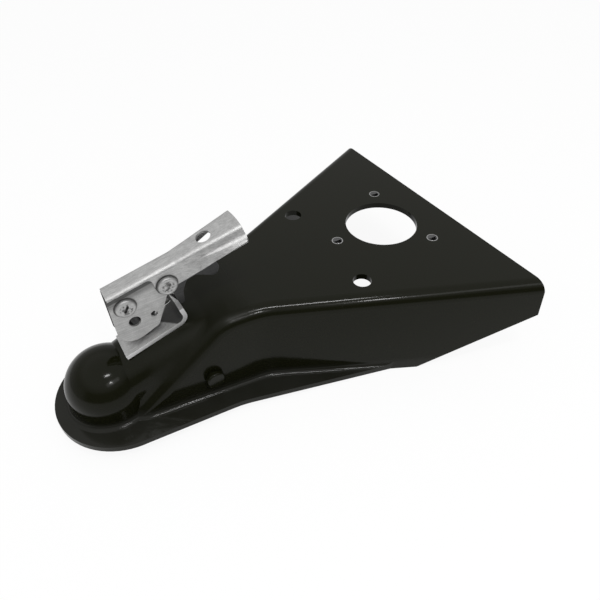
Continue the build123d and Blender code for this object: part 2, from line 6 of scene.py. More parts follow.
import bpy
from mathutils import Euler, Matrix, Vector


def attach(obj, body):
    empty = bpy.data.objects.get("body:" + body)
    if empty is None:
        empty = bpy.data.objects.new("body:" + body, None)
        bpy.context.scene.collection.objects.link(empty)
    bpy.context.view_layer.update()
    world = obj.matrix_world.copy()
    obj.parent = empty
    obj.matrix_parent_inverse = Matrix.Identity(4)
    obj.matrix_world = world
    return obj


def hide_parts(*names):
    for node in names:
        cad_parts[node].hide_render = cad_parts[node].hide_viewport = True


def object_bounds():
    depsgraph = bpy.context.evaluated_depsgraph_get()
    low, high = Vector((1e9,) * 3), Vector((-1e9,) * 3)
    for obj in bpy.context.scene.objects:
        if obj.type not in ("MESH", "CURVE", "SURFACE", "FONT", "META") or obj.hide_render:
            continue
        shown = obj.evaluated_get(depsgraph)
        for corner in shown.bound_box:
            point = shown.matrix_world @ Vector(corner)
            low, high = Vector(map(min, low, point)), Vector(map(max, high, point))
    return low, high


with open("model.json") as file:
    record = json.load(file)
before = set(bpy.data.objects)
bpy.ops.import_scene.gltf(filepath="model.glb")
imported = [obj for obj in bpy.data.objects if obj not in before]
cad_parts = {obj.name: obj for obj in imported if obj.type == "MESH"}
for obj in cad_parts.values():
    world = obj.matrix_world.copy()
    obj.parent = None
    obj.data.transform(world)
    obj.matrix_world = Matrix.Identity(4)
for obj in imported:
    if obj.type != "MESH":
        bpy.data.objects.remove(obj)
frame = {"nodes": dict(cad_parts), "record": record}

bl_info = {
    "name": "Coupling Head Looks",
    "version": (1, 0, 0),
    "blender": (4, 5, 0),
    "location": "3D View > Sidebar > Coupler",
    "description": "Paints, plates and threads the trailer coupling head and sets its stage",
    "category": "Object",
}

CAD_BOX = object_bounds()
NODES = frame["nodes"]
MOUNTS = {mount["name"]: mount for mount in frame["record"]["mounts"]}

MM_PER_M = 1000
WHITE = (1.0, 1.0, 1.0, 1.0)
UP = (0, 0, 1)
UNTURNED = (0.0, 0.0, 0.0)

# Patterns of the finishes: spacing of the lumps in metres, and how fine they go
DUST_CLOUD = (0.05, 4.0)
DUST_GRAIN = (0.0012, 3.0)
RIM_EDGE = (0.0015, 2.0)
PAINT_PEEL = (0.0016, 1.0)
DRAWN_WAVE = (0.03, 1.0)
ZINC_CLOUD = (0.005, 4.0)
ZINC_CRYSTAL = (0.0008, 2.0)
RIVET_BLOT = (0.0022, 2.0)
CAST_SAND = (0.0009, 4.0)
CAST_PATCH = (0.008, 3.0)
NYLON_MOTTLE = (0.002, 3.0)
FLOOR_GRAIN = (0.004, 3.0)

# Dust in the paint: the part of each pattern that shows, and how much of the colour it takes
CLOUD_SHOWN = (0.35, 0.75)
GRAIN_SHOWN = (0.62, 0.8)
DUST_SHARE = 0.45
LIP_CLOUD = (0.0, 0.6)
LIP_LAYER = (0.0, 0.006)
LIP_SHARE = 0.4

# Bare rims round the tapped holes, in metres
RIM_RAG = 0.0006
RIM_BLUR = 0.0003

# Where the dulled paint on the neck fades in or out, in metres
NECK_FRONT = (0.022, 0.036)
NECK_REAR = (0.095, 0.12)
NECK_SIDE = (0.026, 0.04)
NECK_FOOT = (0.004, 0.014)

# What the patterns add to the paint's roughness, and its relief
CLOUD_ROUGH = 0.1
DUST_ROUGH = 0.15
BARE_ROUGH = 0.1
WAVE_RELIEF = 4.0
PAINT_BUMP = 0.6

# Plated sheet: rolling marks, shares of the patterns in its tone, and its relief
ROLLED = (0.03, 1.0, 1.0)
MARKS_DETAIL = 3.0
CLOUD_TONE, MARKS_TONE, CRYSTAL_TONE = 0.3, 0.45, 0.25
ZINC_TONES = (0.3, 0.7)
ZINC_LIGHT, ZINC_DARK = 1.2, 0.75
MARKS_ROUGH, ZINC_CLOUD_ROUGH, SHADE_ROUGH = 0.2, 0.12, 0.2
MARKS_RELIEF, CRYSTAL_RELIEF = 0.6, 0.4
ZINC_DEPTH = 0.00003
ZINC_BUMP = 0.6

# Roughness of the small pieces; that of the dull hardware is on top of the plating's
DULL_ROUGH = 0.1
SPRING_ROUGH = 0.3
WIRE_ROUGH = 0.35
STUD_ROUGH = 0.35
TAP_ROUGH = 0.25

# Painted shade on the latch, in gaps, corners and recesses and under the lever, and a painted
# highlight on the seat's cut edges: widths and blurs in metres, and how dark each place gets
EDGE_BLUR = 0.0002
RIVET_LINE, RIVET_BLUR = 0.0007, 0.0004
LINE_SHADE = 0.85
CAM_SKIN = 0.0004
LEVER_SHADE = (-0.008, -0.002)
LEVER_SHADE_LEVEL = 0.5
LEVER_LINE, LEVER_BLUR = -0.0016, 0.0005
RIM_WIDTH = 0.0004
RIM_SHADE = 0.7
DIMPLE_SHARE, DIMPLE_BLUR = 0.6, 0.0006
SUNK_DEPTH, SUNK_BLUR = 0.0002, 0.0001
BLOT_LEVEL, BLOT_BLUR = 0.5, 0.06
BLOT_SHADE = 0.7
WALL_BLUR = 0.0001
SEAT_SKIN = 0.0004
CORNER_SLOPE, CORNER_BLUR = 0.87, 0.0012
CUT_EDGE = 0.0003

# Cast clamp
CAST_TONES = (0.3, 0.7)
CAST_LIGHT = 1.5
CAST_METAL = 0.7
CAST_ROUGH, SAND_ROUGH = 0.55, 0.3
SAND_DEPTH, SAND_BUMP = 0.00015, 0.7

# Nylon ring
NYLON_DARK = 0.85
NYLON_ROUGH, MOTTLE_ROUGH = 0.4, 0.2
NYLON_DEPTH, NYLON_BUMP = 0.00003, 0.5

# Threads: depths and profiles in shares of the pitch, the rest in metres
FACETS = 40
WELD = 1e-6
SMOOTH_ANGLE = math.radians(25)
SPARE_TURNS = 2
STUD_DEPTH = 0.6
STUD_ROOT_END, STUD_CREST, STUD_CREST_END = 0.12, 0.5, 0.62
EYE_LAP = 0.001
FIRST_HOLE = 180
TAP_DEPTH = 0.55
TAP_FOOT, TAP_CREST, TAP_CREST_END, TAP_FOOT_END = 0.02, 0.44, 0.56, 0.98
TAP_GAP = 0.00002
TAP_CUT = 1.5
TAP_SHORT = 0.0004

# Floor, and how its reflection falls off to the dark side of the studio
FLOOR_GAP = 0.0005
FLOOR_RADIUS = 1.6
FLOOR_SIDES = 96
FLOOR_WORN = 0.98
FLOOR_MIRRORED = 0.85
FLOOR_FADE = (0.3, 1.3)

# Even light: blur and side of its dark part, and its level at the horizon
SHADE_BLUR = 0.15
SHADE_SIDE = (-0.45, -0.05)
HORIZON = 0.55
OVERHEAD = (0.4, 0.75)

# Lamps: name, place, width and length, and the property that holds the power
AIM = (0.12, 0.0, 0.03)
LAMPS = (
    ("key_lamp", (0.1, -0.45, 1.15), (0.3, 0.07), "key"),
    ("spot_lamp", (0.12, -0.72, 0.78), (0.09, 0.05), "spot"),
    ("soft_lamp", (0.35, -1.15, 1.2), (1.1, 0.3), "soft"),
    ("nose_lamp", (-1.2, -0.1, 0.9), (0.4, 0.5), "nose"),
)
SENSOR = 36.0
CLIP_START = 0.01


class CouplerPaint(bpy.types.PropertyGroup):
    """Black paint of the drawn body, its pivot pin and the pin's washer."""

    black: bpy.props.FloatVectorProperty(
        name="Black",
        description="Colour of the paint",
        subtype="COLOR",
        size=3,
        min=0.0,
        max=1.0,
        default=(0.006, 0.0064, 0.0025),
    )
    dust: bpy.props.FloatVectorProperty(
        name="Dust",
        description="Colour of the fine dust that lies in the paint",
        subtype="COLOR",
        size=3,
        min=0.0,
        max=1.0,
        default=(0.03, 0.03, 0.028),
    )
    roughness: bpy.props.FloatProperty(
        name="Roughness",
        description="Roughness of the dry paint",
        subtype="FACTOR",
        min=0.0,
        max=1.0,
        default=0.12,
    )
    dulled: bpy.props.FloatProperty(
        name="Dulled",
        description="Added roughness of the paint on the neck, where hands and grease dull it",
        subtype="FACTOR",
        min=0.0,
        max=1.0,
        default=0.35,
    )
    sheen_level: bpy.props.FloatProperty(
        name="Reflection",
        description="Level of the paint's reflection",
        subtype="FACTOR",
        min=0.0,
        max=1.0,
        default=0.15,
    )
    peel: bpy.props.FloatProperty(
        name="Orange peel",
        description="Height of the fine waves in the sprayed paint",
        unit="LENGTH",
        min=0.0,
        default=0.00003,
    )
    lip_top: bpy.props.FloatProperty(
        name="Lip top",
        description="Height of the lip's upper face under the ball, where dust settles",
        unit="LENGTH",
        default=-0.0125,
    )
    lip_fall: bpy.props.FloatProperty(
        name="Lip fall",
        description="How far the lip falls towards the rear",
        unit="ROTATION",
        default=math.radians(2.5),
    )
    bare_rim: bpy.props.FloatProperty(
        name="Bare rim",
        description="Radius of the bare metal round each tapped hole",
        unit="LENGTH",
        min=0.0,
        default=0.0047,
    )


class CouplerPlating(bpy.types.PropertyGroup):
    """Zinc plating of the latch and bare metal of the inner pieces."""

    zinc: bpy.props.FloatVectorProperty(
        name="Zinc",
        description="Colour of the bright zinc",
        subtype="COLOR",
        size=3,
        min=0.0,
        max=1.0,
        default=(0.52, 0.52, 0.515),
    )
    dull: bpy.props.FloatVectorProperty(
        name="Dull zinc",
        description="Colour of the duller zinc on the small hardware",
        subtype="COLOR",
        size=3,
        min=0.0,
        max=1.0,
        default=(0.3, 0.3, 0.3),
    )
    cast: bpy.props.FloatVectorProperty(
        name="Casting",
        description="Colour of the cast ball clamp, the dark stud and the bare threads",
        subtype="COLOR",
        size=3,
        min=0.0,
        max=1.0,
        default=(0.12, 0.12, 0.12),
    )
    nylon: bpy.props.FloatVectorProperty(
        name="Nylon",
        description="Colour of the locking ring in the nut",
        subtype="COLOR",
        size=3,
        min=0.0,
        max=1.0,
        default=(0.62, 0.6, 0.55),
    )
    trigger: bpy.props.FloatVectorProperty(
        name="Trigger",
        description="Colour of the blackened trigger",
        subtype="COLOR",
        size=3,
        min=0.0,
        max=1.0,
        default=(0.09, 0.09, 0.09),
    )
    # Painted highlight: colour laid on the seat's cut edges
    edge_highlight: bpy.props.FloatVectorProperty(
        name="Highlight",
        description="Colour of edges that are rubbed bright",
        subtype="COLOR",
        size=3,
        min=0.0,
        max=1.0,
        default=(0.85, 0.85, 0.85),
    )
    # Painted shade: colour laid in the gaps, corners and recesses of the latch and under the lever
    shade_tint: bpy.props.FloatVectorProperty(
        name="Shade_tint",
        description="Colour of the grease and grime inside the latch",
        subtype="COLOR",
        size=3,
        min=0.0,
        max=1.0,
        default=(0.03, 0.03, 0.028),
    )
    # Painted shade: how strongly that colour is laid on
    grime: bpy.props.FloatProperty(
        name="Shading",
        description="How much grime lies inside the latch",
        subtype="FACTOR",
        min=0.0,
        max=1.0,
        default=0.9,
    )
    cam_inner: bpy.props.FloatProperty(
        name="Cam inner face",
        description="Distance of the inner face of a cam plate from the middle",
        unit="LENGTH",
        default=0.0043,
    )
    lever_rivet: bpy.props.FloatVectorProperty(
        name="Lever rivet",
        description="Place of the front rivet along the neck and off it, from the stud",
        unit="LENGTH",
        size=2,
        default=(0.0, 0.0377),
    )
    trigger_rivet: bpy.props.FloatVectorProperty(
        name="Trigger rivet",
        description="Place of the rear rivet along the neck and off it, from the stud",
        unit="LENGTH",
        size=2,
        default=(0.031, 0.0366),
    )
    rivet_head: bpy.props.FloatProperty(
        name="Rivet head",
        description="Radius of the rivets' heads",
        unit="LENGTH",
        default=0.0073,
    )
    rivet_face: bpy.props.FloatProperty(
        name="Rivet face",
        description="Distance of the face of the front rivet's head from the middle",
        unit="LENGTH",
        default=0.0091,
    )
    lever_edge: bpy.props.FloatProperty(
        name="Lever edge",
        description="Height of the lever's edge over the cam plates, at the stud",
        unit="LENGTH",
        default=0.0468,
    )
    lever_tilt: bpy.props.FloatProperty(
        name="Lever tilt",
        description="How far the lever falls towards its rear, against the neck",
        unit="ROTATION",
        default=math.radians(3.9),
    )
    seat_half: bpy.props.FloatProperty(
        name="Seat half width",
        description="Half the width of the latch seat",
        unit="LENGTH",
        default=0.012,
    )
    # Painted shade: where the shade in the seat's corner starts
    seat_corner: bpy.props.FloatProperty(
        name="Seat corner",
        description="Where the soiled corner of the seat begins, along the neck from the stud",
        unit="LENGTH",
        default=0.0113,
    )
    seat_wall: bpy.props.FloatProperty(
        name="Seat wall",
        description="Inner face of the seat's wall, along the neck from the stud",
        unit="LENGTH",
        default=0.028,
    )
    metal: bpy.props.FloatProperty(
        name="Metal",
        description="How metallic the plated surface is",
        subtype="FACTOR",
        min=0.0,
        max=1.0,
        default=0.8,
    )
    roughness: bpy.props.FloatProperty(
        name="Roughness",
        description="Roughness of the plated surface",
        subtype="FACTOR",
        min=0.0,
        max=1.0,
        default=0.48,
    )
    grain: bpy.props.FloatProperty(
        name="Grain",
        description="Spacing of the rolling marks in the plated sheet",
        unit="LENGTH",
        min=0.00001,
        default=0.0009,
    )


class CouplerThreads(bpy.types.PropertyGroup):
    """Threads of the clamp stud and of the three tapped jack holes."""

    stud_radius: bpy.props.FloatProperty(
        name="Stud radius",
        description="Radius over the crests of the stud's thread",
        unit="LENGTH",
        default=0.00397,
    )
    stud_pitch: bpy.props.FloatProperty(
        name="Stud pitch",
        description="Pitch of the stud's thread",
        unit="LENGTH",
        default=0.00141,
    )
    stud_foot: bpy.props.FloatVectorProperty(
        name="Stud foot",
        description="Where the stud's axis meets the top of the neck",
        subtype="TRANSLATION",
        size=3,
        default=(0.038, 0.0, 0.033029),
    )
    neck_angle: bpy.props.FloatProperty(
        name="Neck angle",
        description="Slope of the neck, square to which the stud stands",
        unit="ROTATION",
        default=math.radians(15.0),
    )
    stud_low: bpy.props.FloatProperty(
        name="Lower end",
        description="End of the stud, along its axis from the neck",
        unit="LENGTH",
        default=-0.0534,
    )
    stud_high: bpy.props.FloatProperty(
        name="Upper end",
        description="End of the thread under the eye, along the axis from the neck",
        unit="LENGTH",
        default=0.0293,
    )
    tap_radius: bpy.props.FloatProperty(
        name="Tapped hole radius",
        description="Radius of the tapped holes",
        unit="LENGTH",
        default=0.004,
    )
    tap_pitch: bpy.props.FloatProperty(
        name="Tapped hole pitch",
        description="Pitch of the thread in the tapped holes",
        unit="LENGTH",
        default=0.00125,
    )


class CouplerStage(bpy.types.PropertyGroup):
    """Floor, lamps, even light and camera."""

    floor: bpy.props.FloatVectorProperty(
        name="Floor",
        description="Colour of the floor",
        subtype="COLOR",
        size=3,
        min=0.0,
        max=1.0,
        default=(0.97, 0.97, 0.97),
    )
    ambient: bpy.props.FloatProperty(
        name="Ambient",
        description="Level of the even light all round",
        min=0.0,
        default=0.85,
    )
    shade: bpy.props.FloatProperty(
        name="Shade",
        description="Level of the dark side of the studio, behind the camera",
        min=0.0,
        default=0.3,
    )
    shade_top: bpy.props.FloatProperty(
        name="Shade top",
        description="Height of the dark side, as the sine of its elevation",
        min=0.0,
        max=1.0,
        default=0.5,
    )
    glow: bpy.props.FloatProperty(
        name="Floor glow",
        description="Share of plain white in what is seen of the floor",
        subtype="FACTOR",
        min=0.0,
        max=1.0,
        default=0.9,
    )
    camera_place: bpy.props.FloatVectorProperty(
        name="Camera",
        description="Where the camera stands",
        subtype="TRANSLATION",
        size=3,
        default=(0.0, -0.2827, 0.3147),
    )
    camera_turn: bpy.props.FloatVectorProperty(
        name="Camera turn",
        description="How the camera is turned",
        subtype="EULER",
        size=3,
        default=(0.8055, 0.0179, -0.5508),
    )
    lens: bpy.props.FloatProperty(
        name="Lens",
        description="Focal length in millimetres on a sensor 36 mm wide",
        min=1.0,
        default=31.77,
    )
    key: bpy.props.FloatProperty(
        name="Key lamp",
        description="Power of the strip lamp over the camera",
        unit="POWER",
        min=0.0,
        default=3.0,
    )
    spot: bpy.props.FloatProperty(
        name="Spot lamp",
        description="Power of the small lamp beside the camera",
        unit="POWER",
        min=0.0,
        default=1.1,
    )
    soft: bpy.props.FloatProperty(
        name="Soft lamp",
        description="Power of the wide lamp behind the camera",
        unit="POWER",
        min=0.0,
        default=1.8,
    )
    nose: bpy.props.FloatProperty(
        name="Nose lamp",
        description="Power of the soft lamp at the nose of the coupler",
        unit="POWER",
        min=0.0,
        default=1.5,
    )


class Wire:
    """A socket of a material's nodes. Sums on it add Math nodes."""

    def __init__(self, tree, socket=None):
        self.tree = tree
        self.socket = socket

    def node(self, kind, settings=None, inputs=None, output=0):
        """Add a node, set it up, feed its sockets and return one of its outputs."""
        made = self.tree.nodes.new(kind)
        for name, value in (settings or {}).items():
            setattr(made, name, value)
        for name, value in (inputs or {}).items():
            if isinstance(value, Wire):
                self.tree.links.new(value.socket, made.inputs[name])
            else:
                made.inputs[name].default_value = value
        return Wire(self.tree, made.outputs[output] if made.outputs else None)

    def beside(self, output):
        """Another output of the same node."""
        return Wire(self.tree, self.socket.node.outputs[output])

    def maths(self, operation, *values):
        """Work out numbers with a Math node."""
        return self.node("ShaderNodeMath", {"operation": operation}, dict(enumerate(values)))

    def vectors(self, operation, *values, output=0):
        """Work out vectors with a Vector Math node."""
        settings = {"operation": operation}
        return self.node("ShaderNodeVectorMath", settings, dict(enumerate(values)), output)

    def __add__(self, other):
        return self.maths("ADD", self, other)

    def __sub__(self, other):
        return self.maths("SUBTRACT", self, other)

    def __rsub__(self, other):
        return self.maths("SUBTRACT", other, self)

    def __mul__(self, other):
        return self.maths("MULTIPLY", self, other)

    __radd__ = __add__
    __rmul__ = __mul__

    def swing(self, amount):
        """This noise about zero, that far from its lowest to its highest."""
        return (self - 0.5) * amount

    def most(self, first, *others):
        """The largest of some values."""
        for other in others:
            first = self.maths("MAXIMUM", first, other)
        return first

    def nearest(self, across, up, points):
        """Distance from the nearest of some points, in the plane of two coordinates."""
        nearest = None
        for x, y in points:
            gap_x = across - x
            gap_y = up - y
            away = self.maths("SQRT", gap_x * gap_x + gap_y * gap_y)
            nearest = away if nearest is None else self.maths("MINIMUM", nearest, away)
        return nearest

    def place(self):
        """Where a point of the piece is, in the frame of the coupler."""
        return self.node("ShaderNodeTexCoord", output="Object")

    def axes(self, vector):
        """The three numbers of a vector."""
        first = self.node("ShaderNodeSeparateXYZ", None, {0: vector}, "X")
        return first, first.beside("Y"), first.beside("Z")

    def stretched(self, place, turn, scale):
        """The same place, turned and squeezed so that a pattern runs out in lines."""
        inputs = {"Vector": place, "Rotation": turn, "Scale": scale}
        return self.node("ShaderNodeMapping", None, inputs)

    def noise(self, place, spacing, detail):
        """Soft noise whose lumps are about that far apart."""
        inputs = {"Vector": place, "Scale": 1.0 / spacing, "Detail": detail}
        return self.node("ShaderNodeTexNoise", None, inputs)

    def ramp(self, value, low, high):
        """0 below low, 1 above high, smooth between."""
        settings = {"interpolation_type": "SMOOTHSTEP"}
        inputs = {"Value": value, "From Min": low, "From Max": high}
        return self.node("ShaderNodeMapRange", settings, inputs)

    def blend(self, share, first, second):
        """From the first colour to the second by that share."""
        inputs = {0: share, 6: first, 7: second}
        return self.node("ShaderNodeMix", {"data_type": "RGBA"}, inputs, 2)

    def bump(self, height, depth, strength):
        """Normal of a surface with that relief."""
        inputs = {"Height": height, "Distance": depth, "Strength": strength}
        return self.node("ShaderNodeBump", None, inputs)

    def surface(self, inputs):
        """Shader of a piece's surface."""
        return self.node("ShaderNodeBsdfPrincipled", None, inputs)


def opaque(colour, level=1.0):
    """A colour property, times a level, as the four numbers of a socket."""
    return (*(min(1.0, level * part) for part in colour), 1.0)


def new_finish(name, make):
    """A material whose surface is what make returns for its node tree."""
    finish = bpy.data.materials.new(name)
    finish.use_nodes = True
    finish.node_tree.nodes.clear()
    start = Wire(finish.node_tree)
    start.node("ShaderNodeOutputMaterial", None, {"Surface": make(start)})
    return finish


def tapped_holes():
    """Centres of the tapped holes on the plate, in plan."""
    bolts = MOUNTS["jack_bolts"]
    centre = Vector(bolts["pos_m"])
    reach = bolts["dims"]["pcd_mm"] / MM_PER_M / 2
    count = bolts["dims"]["count"]
    turns = [math.radians(FIRST_HOLE + 360 / count * hole) for hole in range(count)]
    return [
        (centre.x + reach * math.cos(turn), centre.y + reach * math.sin(turn)) for turn in turns
    ]


def black_paint(scene):
    """Sprayed black paint with peel, dust, a dulled neck and bare rims round tapped holes."""
    paint = scene.coupler_paint
    plating = scene.coupler_plating

    def make(start):
        place = start.place()
        along, across, height = start.axes(place)

        cloud = start.noise(place, *DUST_CLOUD)
        grains = start.ramp(start.noise(place, *DUST_GRAIN), *GRAIN_SHOWN)
        dust = start.ramp(cloud, *CLOUD_SHOWN) * grains
        over_lip = height + along * math.tan(paint.lip_fall) - paint.lip_top
        settled = (1 - start.ramp(over_lip, *LIP_LAYER)) * start.ramp(cloud, *LIP_CLOUD)
        share = start.most(dust * DUST_SHARE, settled * LIP_SHARE)
        painted = start.blend(share, opaque(paint.black), opaque(paint.dust))

        away = start.nearest(along, across, tapped_holes())
        ragged = away + start.noise(place, *RIM_EDGE).swing(RIM_RAG)
        bare = 1 - start.ramp(ragged, paint.bare_rim - RIM_BLUR, paint.bare_rim)

        neck = start.ramp(along, *NECK_FRONT) * (1 - start.ramp(along, *NECK_REAR))
        neck = neck * (1 - start.ramp(start.maths("ABSOLUTE", across), *NECK_SIDE))
        dull = neck * start.ramp(height, *NECK_FOOT) * paint.dulled
        dusty = paint.roughness + cloud.swing(CLOUD_ROUGH) + dust * DUST_ROUGH

        peel = start.noise(place, *PAINT_PEEL)
        waves = start.noise(place, *DRAWN_WAVE)
        return start.surface(
            {
                "Base Color": start.blend(bare, painted, opaque(plating.zinc)),
                "Metallic": bare,
                "Roughness": dusty + bare * BARE_ROUGH + dull,
                "Specular IOR Level": paint.sheen_level,
                "Normal": start.bump(peel + waves * WAVE_RELIEF, paint.peel, PAINT_BUMP),
            }
        )

    return new_finish("black_paint", make)


def zinc(scene, name, colour, roughness, turn, shaded=None, highlighted=None):
    """Plated sheet with rolling marks along it, darkened with painted shade and lightened with
    painted highlights where the masks say.
    """
    plating = scene.coupler_plating

    def make(start):
        place = start.place()
        lines = start.stretched(place, turn, ROLLED)
        marks = start.noise(lines, plating.grain, MARKS_DETAIL)
        cloud = start.noise(place, *ZINC_CLOUD)
        crystals = start.noise(place, *ZINC_CRYSTAL)

        shade = cloud * CLOUD_TONE + marks * MARKS_TONE + crystals * CRYSTAL_TONE
        dark = opaque(colour, ZINC_DARK)
        plated = start.blend(start.ramp(shade, *ZINC_TONES), dark, opaque(colour, ZINC_LIGHT))
        smooth = roughness + marks.swing(MARKS_ROUGH) + cloud.swing(ZINC_CLOUD_ROUGH)
        # Painted shade: darken and roughen where the mask says the latch is shaded
        if shaded:
            grime = shaded(Spot(scene, start, place))
            plated = start.blend(grime * plating.grime, plated, opaque(plating.shade_tint))
            smooth = smooth + grime * SHADE_ROUGH
        # Painted highlight: lighten the masked edges
        if highlighted:
            edge = highlighted(Spot(scene, start, place))
            plated = start.blend(edge, plated, opaque(plating.edge_highlight))

        relief = marks * MARKS_RELIEF + crystals * CRYSTAL_RELIEF
        return start.surface(
            {
                "Base Color": plated,
                "Metallic": plating.metal,
                "Roughness": smooth,
                "Normal": start.bump(relief, ZINC_DEPTH, ZINC_BUMP),
            }
        )

    return new_finish(name, make)


class Spot:
    """Where a point of the latch is: along the neck, off it and out from the middle plane."""

    def __init__(self, scene, start, place):
        threads = scene.coupler_threads
        tilt = threads.neck_angle
        self.start = start
        self.place = place
        self.plating = scene.coupler_plating
        offset = start.vectors("SUBTRACT", place, threads.stud_foot)
        self.along = self.measure(offset, (math.cos(tilt), 0.0, math.sin(tilt)))
        self.height = self.measure(offset, (-math.sin(tilt), 0.0, math.cos(tilt)))
        self.out = start.maths("ABSOLUTE", self.measure(offset, (0.0, 1.0, 0.0)))

    def measure(self, offset, direction):
        """How far an offset goes in one direction."""
        return self.start.vectors("DOT_PRODUCT", offset, direction, output="Value")

    def above(self, value, limit, blur=EDGE_BLUR):
        """0 below the limit, 1 above it."""
        return self.start.ramp(value, limit - blur, limit + blur)

    def from_rivet(self):
        """Distance from the axis of the nearer rivet."""
        rivets = (self.plating.lever_rivet, self.plating.trigger_rivet)
        return self.start.nearest(self.along, self.height, rivets)

    def shade_round_rivets(self):
        """Painted shade: a dark line round the heads of the rivets, in the gap under them."""
        gap = self.from_rivet() - self.plating.rivet_head
        return (1 - self.above(gap, RIVET_LINE, RIVET_BLUR)) * LINE_SHADE

    def shade_on_cam(self):
        """Painted shade on a cam plate: its inner face between the plates, a shadow under the
        lever's edge with a dark line at it, and lines round rivets.
        """
        inner = 1 - self.above(self.out, self.plating.cam_inner + CAM_SKIN)
        fall = self.along * math.tan(self.plating.lever_tilt)
        edge = self.height + fall - self.plating.lever_edge
        shade = self.start.ramp(edge, *LEVER_SHADE) * LEVER_SHADE_LEVEL
        line = self.above(edge, LEVER_LINE, LEVER_BLUR) * LINE_SHADE
        return self.start.most(inner, shade, line, self.shade_round_rivets())

    def shade_on_rivet(self):
        """Painted shade on a rivet's head: a dark rim, and the dimple darkened where it is sunk
        and in blots.
        """
        gap = self.from_rivet()
        head = self.plating.rivet_head
        rim = self.above(gap, head - RIM_WIDTH, RIVET_BLUR) * RIM_SHADE
        dimple = 1 - self.above(gap, DIMPLE_SHARE * head, DIMPLE_BLUR)
        sunk = 1 - self.above(self.out, self.plating.rivet_face - SUNK_DEPTH, SUNK_BLUR)
        patches = self.start.noise(self.place, *RIVET_BLOT)
        blots = self.above(patches, BLOT_LEVEL, BLOT_BLUR) * BLOT_SHADE
        return self.start.most(rim, dimple * self.start.most(sunk, blots))

    def shade_on_seat(self):
        """Painted shade in the inside corner of the seat under the lever, up to the edges of its
        wall.
        """
        inner = 1 - self.above(self.along, self.plating.seat_wall, WALL_BLUR)
        between = 1 - self.above(self.out, self.plating.seat_half - SEAT_SKIN)
        slant = self.along - self.out * CORNER_SLOPE
        return self.above(slant, self.plating.seat_corner, CORNER_BLUR) * inner * between

    def seat_edge_highlight(self):
        """Painted highlight on the cut edges at the two sides of the seat."""
        return self.above(self.out, self.plating.seat_half - CUT_EDGE)


def casting(scene):
    """Sand-cast clamp: dark, rough and pitted."""
    plating = scene.coupler_plating

    def make(start):
        place = start.place()
        sand = start.noise(place, *CAST_SAND)
        patches = start.ramp(start.noise(place, *CAST_PATCH), *CAST_TONES)
        light = opaque(plating.cast, CAST_LIGHT)
        return start.surface(
            {
                "Base Color": start.blend(patches, opaque(plating.cast), light),
                "Metallic": CAST_METAL,
                "Roughness": CAST_ROUGH + sand.swing(SAND_ROUGH),
                "Normal": start.bump(sand, SAND_DEPTH, SAND_BUMP),
            }
        )

    return new_finish("clamp_casting", make)


def nylon_ring(scene):
    """Moulded nylon with a soft mottle."""
    plating = scene.coupler_plating

    def make(start):
        mottle = start.noise(start.place(), *NYLON_MOTTLE)
        dark = opaque(plating.nylon, NYLON_DARK)
        return start.surface(
            {
                "Base Color": start.blend(mottle, dark, opaque(plating.nylon)),
                "Roughness": NYLON_ROUGH + mottle.swing(MOTTLE_ROUGH),
                "Normal": start.bump(mottle, NYLON_DEPTH, NYLON_BUMP),
            }
        )

    return new_finish("nylon", make)


def dress(piece, finish):
    """Give a piece a finish in place of the one that it came with."""
    piece.data.materials.clear()
    piece.data.materials.append(finish)


def dress_nodes(finish, *names):
    """Give CAD nodes a finish."""
    for name in names:
        dress(NODES[name], finish)


def select_only(piece):
    """Go to object mode, with just that piece selected and active."""
    if bpy.context.mode != "OBJECT":
        bpy.ops.object.mode_set(mode="OBJECT")
    bpy.ops.object.select_all(action="DESELECT")
    piece.select_set(True)
    bpy.context.view_layer.objects.active = piece


def settle(piece):
    """Put a piece's place into its mesh, so that its object sits at the origin."""
    select_only(piece)
    bpy.ops.object.transform_apply(location=True, rotation=True, scale=True)


def thread_profile(name, points):
    """An object that holds one closed run of edges through the points, ready to be screwed."""
    bpy.ops.object.select_all(action="DESELECT")
    bpy.ops.mesh.primitive_circle_add(vertices=len(points), location=(0, 0, 0))
    piece = bpy.context.active_object
    piece.name = name
    piece.data.name = name
    for vertex, point in zip(piece.data.vertices, points):
        vertex.co = point
    return piece


def open_profile(piece):
    """Delete the edge that joins a profile's last point to its first."""
    select_only(piece)
    bpy.ops.object.mode_set(mode="EDIT")
    bpy.ops.mesh.select_all(action="DESELECT")
    bpy.ops.object.mode_set(mode="OBJECT")
    ends = {0, len(piece.data.vertices) - 1}
    for edge in piece.data.edges:
        edge.select = set(edge.vertices) == ends
    bpy.ops.object.mode_set(mode="EDIT")
    bpy.ops.mesh.select_mode(type="EDGE")
    bpy.ops.mesh.delete(type="EDGE")
    bpy.ops.object.mode_set(mode="OBJECT")


def screw(piece, pitch, length):
    """Turn a profile about Z into a thread with turns to spare, and open it in edit mode."""
    select_only(piece)
    bpy.ops.object.modifier_add(type="SCREW")
    thread = piece.modifiers[-1]
    thread.axis = "Z"
    thread.screw_offset = pitch
    thread.iterations = math.ceil(length / pitch) + SPARE_TURNS
    thread.steps = FACETS
    thread.render_steps = FACETS
    thread.use_merge_vertices = False
    bpy.ops.object.modifier_apply(modifier=thread.name)
    bpy.ops.object.mode_set(mode="EDIT")
    bpy.ops.mesh.select_mode(type="VERT")
    bpy.ops.mesh.select_all(action="SELECT")


def cut(place, normal, **cleared):
    """Cut the open mesh with a plane, close the cut and clear one side."""
    bpy.ops.mesh.select_all(action="SELECT")
    bpy.ops.mesh.bisect(plane_co=place, plane_no=normal, use_fill=True, **cleared)


